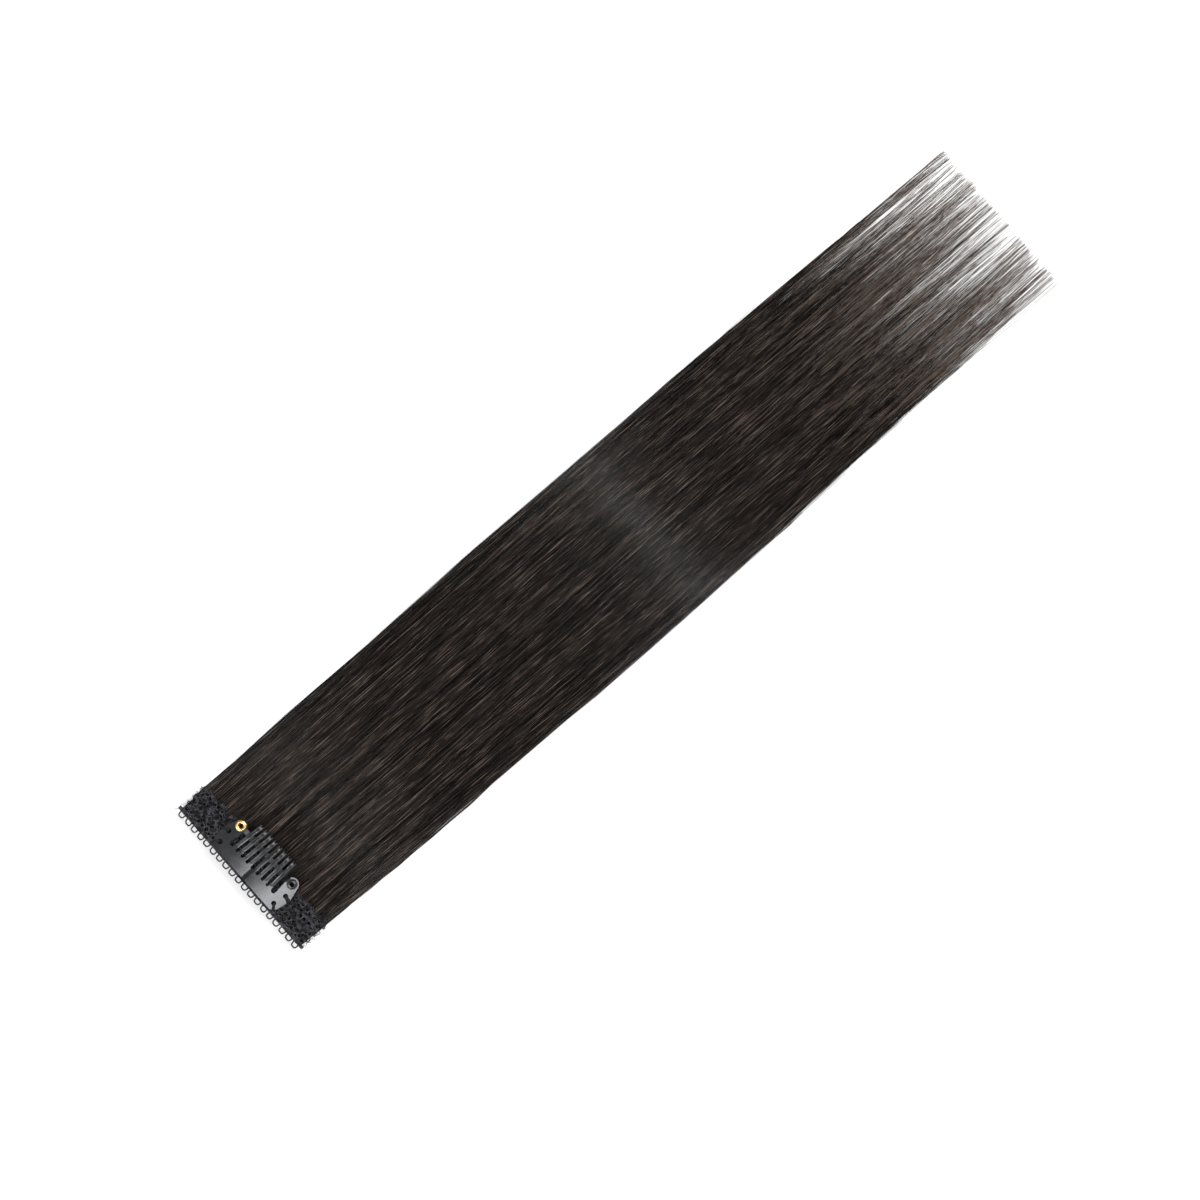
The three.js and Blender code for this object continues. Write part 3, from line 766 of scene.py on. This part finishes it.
def move_flyaways(random, paths):
    """Some strands leave their place: along the sides, over the top, and across near the lace."""
    chosen = random.choice(len(paths), FLYAWAYS + CROSSERS, replace=False)
    fly, cross = chosen[:FLYAWAYS], chosen[FLYAWAYS:]
    along = (paths[..., 1] - ROOT_Y) / (HAIR_REACH - ROOT_Y)

    s = along[fly]
    sway = random.normal(0, FLY_SWAY, FLYAWAYS)[:, None] * smooth_step(s) ** FLY_GROWTH
    sway += random.normal(0, FLY_WAVE, FLYAWAYS)[:, None] * np.sin(2 * np.pi * FLY_WAVES * s)
    paths[fly, :, 0] += sway
    paths[fly, :, 2] += np.abs(random.normal(0, FLY_LIFT, FLYAWAYS))[:, None] * np.sin(np.pi * s)

    s = along[cross]
    drift = random.normal(0, CROSS_DRIFT, CROSSERS)[:, None]
    start = random.uniform(*CROSS_START, CROSSERS)[:, None]
    paths[cross, :, 0] += drift * eased(s, start, CROSS_LENGTH) * (1 - eased(s, *CROSS_BACK))
    rise = eased(s, *CROSS_RISE) * (1 - eased(s, *CROSS_SINK))
    above = hair_top(paths[cross, :, 0], paths[cross, :, 1]) + CROSS_GAP
    paths[cross, :, 2] = paths[cross, :, 2] * (1 - rise) + above * rise


def strand_uv(first, count, total, steps, sides):
    """One narrow upright strip of the bake map for each strand, in the order of the strands."""
    left = (first + np.arange(count))[:, None, None] / total
    step = np.arange(steps - 1)[None, :, None] / (steps - 1)
    side = np.arange(sides)[None, None, :] / sides / total
    u0, v0 = np.broadcast_arrays(left + side, step)
    u1, v1 = u0 + 1 / sides / total, v0 + 1 / (steps - 1)
    quads = np.stack([u0, v0, u0, v1, u1, v1, u1, v0], -1).reshape(-1, 2)
    corner = np.arange(sides) / sides / total
    ends = []
    for v in (0.0, 1.0):
        u = np.broadcast_to(left[:, :, 0] + corner[None, :], (count, sides))
        ends.append(np.stack([u, np.full_like(u, v)], -1).reshape(-1, 2))
    return np.concatenate([quads, *ends])


def hair(material):
    """The strands, in pieces side by side across the weft, and in each piece the upper and lower wisps."""
    random = np.random.default_rng(7)
    layers = []
    for shares, rings, tail in (
        ((UPPER_SHARE, 1.0), UPPER_RINGS, UPPER_TAIL),
        ((0.0, UPPER_SHARE), LOWER_RINGS, LOWER_TAIL),
    ):
        paths, tone, number = strand_paths(random, shares, rings, tail)
        if shares[1] == 1.0:
            move_flyaways(random, paths)
        count, steps = tone.shape
        thinnest = TIP_RADIUS / STRAND_RADIUS
        taper = np.interp(np.linspace(0, 1, steps), [0, TAPER_START, 1], [1, 1, thinnest])
        radii = STRAND_RADIUS * random.uniform(*STRAND_THICKNESS, count)[:, None] * taper[None, :]
        paths[:, :, 2] = np.maximum(paths[:, :, 2], radii + GROUND_GAP)
        zone = np.argsort(np.argsort(paths[:, ZONE_RING, 0])) * STRAND_PIECES // count
        layers.append((paths, tone, number, radii, zone))

    for piece_number in range(STRAND_PIECES):
        total = sum(int((zone == piece_number).sum()) for *_, zone in layers)
        tubes_made, tones, numbers, maps, first = [], [], [], [], 0
        for paths, tone, number, radii, zone in layers:
            mine = np.flatnonzero(zone == piece_number)
            mine = mine[np.argsort(tone[mine].mean(1))]
            steps = tone.shape[1]
            phase = number[mine] * 2 * np.pi
            tubes_made.append(tubes(paths[mine], radii[mine], STRAND_SIDES, phase=phase))
            tones.append(np.repeat(tone[mine].ravel(), STRAND_SIDES))
            numbers.append(np.repeat(number[mine], steps * STRAND_SIDES))
            maps.append(strand_uv(first, len(mine), total, steps, STRAND_SIDES))
            first += len(mine)
        points, faces = gathered(tubes_made)
        piece = mesh_object(
            f"hair_strands_{piece_number + 1}",
            points,
            faces,
            material,
            floats={"tone": np.concatenate(tones), "strand": np.concatenate(numbers)},
            uv=np.concatenate(maps),
        )
        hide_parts("hair_locks")


def weft_head(hair_stuff, thread_stuff):
    """The folded roots of the hair, wrapped round the back of the head, with three rows of stitches. The
    roots get painted shade: the darkest tone, for the shade under the lace.
    """
    random = np.random.default_rng(11)
    half_height = (HEAD_TOP_Z - HEAD_ROOM) / 2
    middle_z = half_height + HEAD_LOW_Z
    profile = [(HEAD_FRONT_Y, middle_z + half_height), (HEAD_MIDDLE_Y, middle_z + half_height)]
    for angle in np.linspace(np.pi / 2, 3 * np.pi / 2, 7):
        profile.append((
            HEAD_BACK_Y + half_height + half_height * math.cos(angle),
            middle_z + half_height * math.sin(angle),
        ))
    profile.append((HEAD_MIDDLE_Y, middle_z - half_height))
    profile.append((HEAD_FRONT_Y + HEAD_UNDERLAP, middle_z - half_height))
    profile = np.array(profile)
    count, steps = HEAD_HAIRS, len(profile)
    x = np.linspace(-WEFT_HALF, WEFT_HALF, count)[:, None] + random.normal(0, 0.03, (count, 1))
    x = x + random.normal(0, 0.03, (count, steps))
    y = profile[None, :, 0] + random.normal(0, 0.05, (count, 1))
    z = profile[None, :, 1] + random.uniform(-0.05, 0.05, (count, 1))
    paths = np.stack([x, y, np.maximum(z, HEAD_HAIR_LEAST_Z)], -1)
    points, quads, caps = tubes(paths, HEAD_HAIR_RADIUS, HEAD_HAIR_SIDES, up=RIGHT)
    # painted shade: the roots get the darkest tone, so the holes of the lace over them look dark
    tone = np.repeat(random.normal(0, 0.1, count), steps * HEAD_HAIR_SIDES)
    number = np.repeat(np.arange(count) * NUMBER_STEP, steps * HEAD_HAIR_SIDES)
    roots = mesh_object(
        "weft_roots", points, [quads, caps], hair_stuff, floats={"tone": tone, "strand": number}
    )
    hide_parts("hair_locks")

    x = np.linspace(-WEFT_HALF, WEFT_HALF, 361)
    swing = HEAD_STITCH_SWING * np.sin(2 * np.pi * x / HEAD_STITCH_LENGTH)
    rise = HEAD_STITCH_LIFT * np.cos(4 * np.pi * x / HEAD_STITCH_LENGTH)
    rows = []
    for y0 in HEAD_ROWS_Y:
        for face in (-1, 1):
            z = middle_z + face * half_height + face * HEAD_STITCH_GAP + face * rise
            rows.append(points_at(x, y0 + swing, np.maximum(z, HEAD_STITCH_LEAST_Z)))
    points, quads, caps = tubes(np.array(rows), HEAD_STITCH_RADIUS, 5)
    stitches = mesh_object("weft_stitches", points, [quads, caps], thread_stuff)


# Lace


def scallop_y(x):
    share = np.mod(x + LACE_LENGTH / 2, SCALLOP_SPACING) / SCALLOP_SPACING
    return LACE_FAR_Y - SCALLOP_DEPTH * (1 - np.sin(np.pi * share))


def net_rings(random):
    """The net: rings of looped thread side by side, each touching its neighbours."""
    low = LACE_EDGE_Y + BRAID_DEPTH + 0.3
    row_step = RING_PITCH * math.sqrt(0.75)
    rows = int((LACE_FAR_Y - low) / row_step) + 1
    columns = int(LACE_LENGTH / RING_PITCH) + 1
    turn = np.linspace(0, 2 * np.pi, 12)
    paths = []
    for row in range(rows):
        for place in range(columns):
            x0 = (place - (columns - 1) / 2 + 0.5 * (row % 2)) * RING_PITCH
            x0 += random.normal(0, RING_JITTER)
            y0 = low + RING_RADIUS + row * row_step + random.normal(0, RING_JITTER)
            if abs(x0) > LACE_LENGTH / 2 - RING_RADIUS or y0 > scallop_y(x0) - 0.35:
                continue
            size = RING_RADIUS * random.uniform(0.85, 1.12)
            squash = random.uniform(0.8, 1.15)
            height = LACE_Z - 0.08 + 0.08 * np.sin(3 * turn + random.uniform(0, 6))
            paths.append(points_at(x0 + size * np.cos(turn), y0 + size * squash * np.sin(turn), height))
    return [tubes(np.array(paths), RING_THREAD, 5)]


def edge_cords():
    """Cords along the scallops, and the braid along the straight edge with its binding thread."""
    x = np.linspace(-LACE_LENGTH / 2, LACE_LENGTH / 2, 301)
    parts = []
    for cord in SCALLOP_CORDS:
        y = scallop_y(x) - cord["inset"] + 0.05 * np.sin(2 * np.pi * x / 0.9)
        parts.append(tubes([points_at(x, y, LACE_Z + 0.05)], cord["radius"], EDGE_CORD_SIDES))
    for cord in BRAID_CORDS:
        y = LACE_EDGE_Y + cord["inset"] + 0.03 * np.sin(2 * np.pi * x / 0.7)
        parts.append(tubes([points_at(x, y, LACE_Z + 0.04)], cord["radius"], EDGE_CORD_SIDES))
    x = np.linspace(-LACE_LENGTH / 2, LACE_LENGTH / 2, 481)
    y = LACE_EDGE_Y + BINDING["inset"] + BINDING["swing"] * np.sin(2 * np.pi * x / BINDING["length"])
    z = LACE_Z + 0.16 + 0.05 * np.cos(4 * np.pi * x / BINDING["length"])
    parts.append(tubes([points_at(x, y, z)], BINDING["radius"], 4))
    return parts


def scallop_loops(random):
    """Small loops that stand out of the scalloped edge."""
    turn = np.linspace(-0.35 * np.pi, 1.35 * np.pi, 13)
    paths = []
    for x0 in np.arange(-LACE_LENGTH / 2 + 0.9, LACE_LENGTH / 2 - 0.5, LOOP_SPACING):
        centre_x = x0 + random.normal(0, 0.12)
        radius = random.uniform(*LOOP_SIZES)
        x = centre_x + radius * np.cos(turn)
        y = scallop_y(centre_x) + radius * 0.35 + radius * np.sin(turn)
        z = LACE_Z + 0.03 * np.sin(turn) + random.uniform(-0.05, 0.1)
        paths.append(points_at(x, np.minimum(y, LACE_FAR_Y + 0.75), z))
    return [tubes(np.array(paths), LOOP_THREAD, 4)]


def stitched_oval(centre, angle, length, width, lift):
    """A leaf or petal: a satin stitched filling of zigzag thread inside a raised rim."""
    share = np.linspace(-OVAL_FILL, OVAL_FILL, OVAL_PASSES * 2)
    side = np.where(np.arange(OVAL_PASSES * 2) % 2, 1.0, -1.0)
    zigzag = np.stack([share * length / 2, side * np.sqrt(1 - share**2) * width / 2], -1)
    turn = np.linspace(0, 2 * np.pi, 25)
    oval = np.stack([np.cos(turn) * length / 2, np.sin(turn) * width / 2], -1)
    spin = np.array([[math.cos(angle), math.sin(angle)], [-math.sin(angle), math.cos(angle)]])
    filling = zigzag @ spin + centre
    rim = oval @ spin + centre
    bulge = OVAL_BULGE * np.sqrt(1 - share**2)
    return (
        np.column_stack([filling, LACE_Z + lift + bulge]),
        np.column_stack([rim, np.full(len(rim), LACE_Z + lift + OVAL_RIM_LIFT)]),
    )


def flowers():
    """Five petalled flowers in a row, each with an eye, and leaves on a wavy stem between them."""
    count = round(LACE_LENGTH / FLOWER_SPACING)
    middle = (LACE_EDGE_Y + BRAID_DEPTH + LACE_FAR_Y - SCALLOP_DEPTH) / 2
    fillings, rims = [], []
    for i in range(count):
        centre = np.array([
            (i - (count - 1) / 2) * FLOWER_SPACING,
            middle + (FLOWER_SWAY if i % 2 else -FLOWER_SWAY),
        ])
        for petal in range(PETALS):
            angle = 2 * np.pi * petal / PETALS + FLOWER_TURN * i
            at = centre + PETAL["out"] * FLOWER_RADIUS * np.array([math.cos(angle), math.sin(angle)])
            length, width = PETAL["length"] * FLOWER_RADIUS, PETAL["width"] * FLOWER_RADIUS
            filling, rim = stitched_oval(at, angle, length, width, PETAL["lift"])
            fillings.append(filling)
            rims.append(rim)
        turn = np.linspace(0, 2 * np.pi, 25)
        for radius in EYE_RADII:
            x, y = centre[0] + radius * np.cos(turn), centre[1] + radius * np.sin(turn)
            rims.append(points_at(x, y, LACE_Z + 0.3))
    for i in range(count + 1):
        x0 = (i - count / 2) * FLOWER_SPACING
        if abs(x0) > LACE_LENGTH / 2 - 1:
            x0 *= 1 - 2 * END_LEAVES_IN / LACE_LENGTH
        for leaf in LEAVES:
            at = np.array([x0 + leaf["x"], middle + leaf["y"]])
            filling, rim = stitched_oval(at, leaf["turn"] + LEAF_TURN * i, **LEAF)
            fillings.append(filling)
            rims.append(rim)
    x = np.linspace(-LACE_LENGTH / 2 + 0.3, LACE_LENGTH / 2 - 0.3, 241)
    sway = STEM_SWAY * np.cos(2 * np.pi * x / (2 * FLOWER_SPACING))
    stems = [points_at(x, middle + sway + shift, LACE_Z + 0.14) for shift in STEM_SHIFTS]
    return [
        tubes(np.array(fillings), 0.12, 4),
        tubes(np.array(rims), 0.14, 5),
        tubes(np.array(stems), 0.15, 5),
    ]


def picot_loops(random):
    """The row of large loops that stand out of the straight edge."""
    count = int(LACE_LENGTH // PICOT_SPACING)
    turn = np.linspace(0, np.pi, 17)
    round_x = np.sign(np.cos(turn)) * np.abs(np.cos(turn)) ** 0.6
    round_y = np.sin(turn) ** 0.55
    paths = []
    for i in range(count):
        x0 = (i - (count - 1) / 2) * PICOT_SPACING + random.normal(0, 0.06)
        width = PICOT_WIDTH / 2 * random.uniform(0.92, 1.05)
        reach = PICOT_REACH * random.uniform(0.9, 1.03)
        lean = random.normal(0, 0.08)
        x = x0 + width * round_x + lean * round_y
        y = LACE_EDGE_Y + 0.15 - (reach + 0.15) * round_y
        z = LACE_Z - 0.05 - 0.12 * round_y + random.uniform(-0.04, 0.04) * round_y
        paths.append(points_at(x, y, z))
    return [tubes(np.array(paths), PICOT_THREAD, 6)]


def frayed_ends(random):
    """Cut threads that curl out of both short ends."""
    t = np.linspace(0, 1, 9)[:, None]
    paths = []
    for side in (-1, 1):
        for _ in range(FRAYS_PER_END):
            start = np.array([side * (LACE_LENGTH / 2 - 0.5), random.uniform(-4.6, 5.0), LACE_Z])
            run = [side * random.uniform(0.3, 1.0), random.normal(0, 0.8), random.uniform(-0.4, 0.3)]
            end = start + np.array(run)
            middle = (start + end) / 2 + random.normal(0, 0.25, 3)
            paths.append((1 - t) ** 2 * start + 2 * t * (1 - t) * middle + t**2 * end)
    return [tubes(np.array(paths), FRAY_THREAD, 4)]


def lace(material):
    random = np.random.default_rng(23)
    points, faces = gathered(net_rings(random) + edge_cords())
    cloth = mesh_object("lace_cloth", points, faces, material)
    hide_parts("lace_band")

    points, faces = gathered(flowers() + scallop_loops(random))
    motifs = mesh_object("lace_flowers", points, faces, material)
    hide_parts("lace_band")

    points, faces = gathered(picot_loops(random))
    picots = mesh_object("lace_picots", points, faces, material)

    points, faces = gathered(frayed_ends(random))
    ends = mesh_object("lace_frayed_ends", points, faces, material)


# Clip


def plate_height(x):
    """Height of the plate's upper face, which falls from its crease to both ends."""
    return PLATE_CREASE_Z - abs(x) * math.tan(PLATE_TILT)


def clip_stitches(material):
    """Black thread through the four sewing holes, over the plate's end edges and into the lace."""
    random = np.random.default_rng(31)
    paths = []
    for side in (-1, 1):
        for hole in SEWING_HOLES:
            for turn in range(SEWING_TURNS):
                fan = (turn - (SEWING_TURNS - 1) / 2) * SEWING_SPACING
                x0, x1 = hole["x"] + random.normal(0, 0.08), hole["edge_x"] + random.normal(0, 0.06)
                y0, y1 = hole["y"] + fan * 0.75, hole["edge_y"] + fan
                plate_top = plate_height(x0) + 0.1
                edge_top = plate_height(x1) + 0.1
                points = np.array([
                    (x0 - 0.1, y0, LACE_Z + 0.2),
                    (x0, y0, plate_top - 0.2),
                    (x0 + 0.12, y0, plate_top),
                    ((x0 + x1) / 2, (y0 + y1) / 2, (plate_top + edge_top) / 2 + 0.06),
                    (x1 - 0.1, y1, edge_top),
                    (x1 + 0.12, y1, edge_top - 0.2),
                    (x1 + 0.1, y1, LACE_Z + 0.15),
                ])
                points[:, 0] *= side
                paths.append(resampled(points, 18))
    points, quads, caps = tubes(np.array(paths), SEWING_THREAD, 6, up=FORWARD)
    stitches = mesh_object("clip_stitches", points, [quads, caps], material)


def clip_finish(frame, comb, bar, steel, brass):
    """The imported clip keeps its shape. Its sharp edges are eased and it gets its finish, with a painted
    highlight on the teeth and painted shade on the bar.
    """
    for name, material, width in (
        ("comb_plate", comb, 0.15),
        ("snap_bar", bar, 0.1),
        ("eyelet_brass", brass, 0.05),
        ("eyelet_black", steel, 0.05),
    ):
        node = frame["nodes"][name]
        node.data.materials.clear()
        node.data.materials.append(material)
        weld = node.modifiers.new("weld", "WELD")
        weld.merge_threshold = WELD_DISTANCE * MM
        flat = node.modifiers.new("flat_faces", "DECIMATE")
        flat.decimate_type = "DISSOLVE"
        flat.angle_limit = FLAT_ANGLE
        ease = node.modifiers.new("eased_edges", "BEVEL")
        ease.width = width * MM
        ease.segments = 2
        ease.limit_method = "ANGLE"
        ease.angle_limit = SHARP_ANGLE
        even = node.modifiers.new("flat_shading", "WEIGHTED_NORMAL")
        even.mode = "FACE_AREA"
        even.weight = 100
        for polygon in node.data.polygons:
            polygon.use_smooth = True


# Surroundings


def floor(material):
    half = FLOOR_HALF * MM
    corners = [(-half, -half, 0), (half, -half, 0), (half, half, 0), (-half, half, 0)]
    mesh = bpy.data.meshes.new("floor")
    mesh.from_pydata(corners, [], [(0, 1, 2, 3)])
    mesh.materials.append(material)
    obj = bpy.data.objects.new("floor", mesh)
    bpy.context.scene.collection.objects.link(obj)


def area_light(name, place, aim, size, watts):
    data = bpy.data.lights.new(name, "AREA")
    data.shape = "RECTANGLE"
    data.size, data.size_y = (v * MM for v in size)
    data.energy = watts
    light = bpy.data.objects.new(name, data)
    light.location = Vector(place) * MM
    direction = Vector(aim) * MM - light.location
    light.rotation_euler = direction.to_track_quat("-Z", "Y").to_euler()
    bpy.context.scene.collection.objects.link(light)


def lighting():
    world = bpy.data.worlds.new("studio")
    world.use_nodes = True
    background = world.node_tree.nodes["Background"]
    background.inputs["Color"].default_value = (1, 1, 1, 1)
    background.inputs["Strength"].default_value = WORLD_STRENGTH
    bpy.context.scene.world = world
    for light in LIGHTS:
        area_light(**light)


def camera():
    data = bpy.data.cameras.new("camera")
    data.lens = LENS
    data.sensor_width = SENSOR
    data.clip_end = 10
    up = Vector((*PHOTO_UP, 0)).normalized()
    right = up.cross(Vector((0, 0, 1)))
    distance = PHOTO_WIDTH * LENS / SENSOR
    place = Vector((*PHOTO_CENTRE, distance)) * MM
    obj = bpy.data.objects.new("camera", data)
    turn = Matrix((right, up, Vector((0, 0, 1)))).transposed()
    obj.matrix_world = Matrix.Translation(place) @ turn.to_4x4()
    bpy.context.scene.collection.objects.link(obj)
    bpy.context.scene.camera = obj


def view_settings():
    settings = bpy.context.scene.view_settings
    settings.view_transform = "Standard"
    settings.look = "None"
    settings.exposure = 0.0
    settings.gamma = 1.0


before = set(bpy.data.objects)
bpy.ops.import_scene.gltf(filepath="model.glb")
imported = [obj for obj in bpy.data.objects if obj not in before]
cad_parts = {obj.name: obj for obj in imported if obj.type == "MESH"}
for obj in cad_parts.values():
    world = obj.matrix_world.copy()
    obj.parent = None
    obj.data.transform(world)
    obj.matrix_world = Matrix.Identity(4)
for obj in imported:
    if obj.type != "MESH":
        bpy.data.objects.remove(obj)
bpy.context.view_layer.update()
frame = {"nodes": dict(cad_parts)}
camera()
view_settings()
lighting()

hair_stuff = hair_material()
lace_stuff = thread_material("lace_thread", **LACE_THREAD)
hair(hair_stuff)
weft_head(hair_stuff, lace_stuff)
lace(lace_stuff)
highlighted_comb_stuff = steel_material("black_satin_comb_painted_highlight", **COMB_STEEL, pressed=True)
# the bar's darker steel is painted shade under the teeth
shaded_bar_stuff = steel_material("black_satin_bar_painted_shade", **SHADED_BAR_STEEL)
steel_stuff = steel_material("black_satin_steel", **EYELET_STEEL)
clip_finish(frame, highlighted_comb_stuff, shaded_bar_stuff, steel_stuff, brass_material())
clip_stitches(thread_material("black_thread", **BLACK_THREAD))
floor(floor_material())
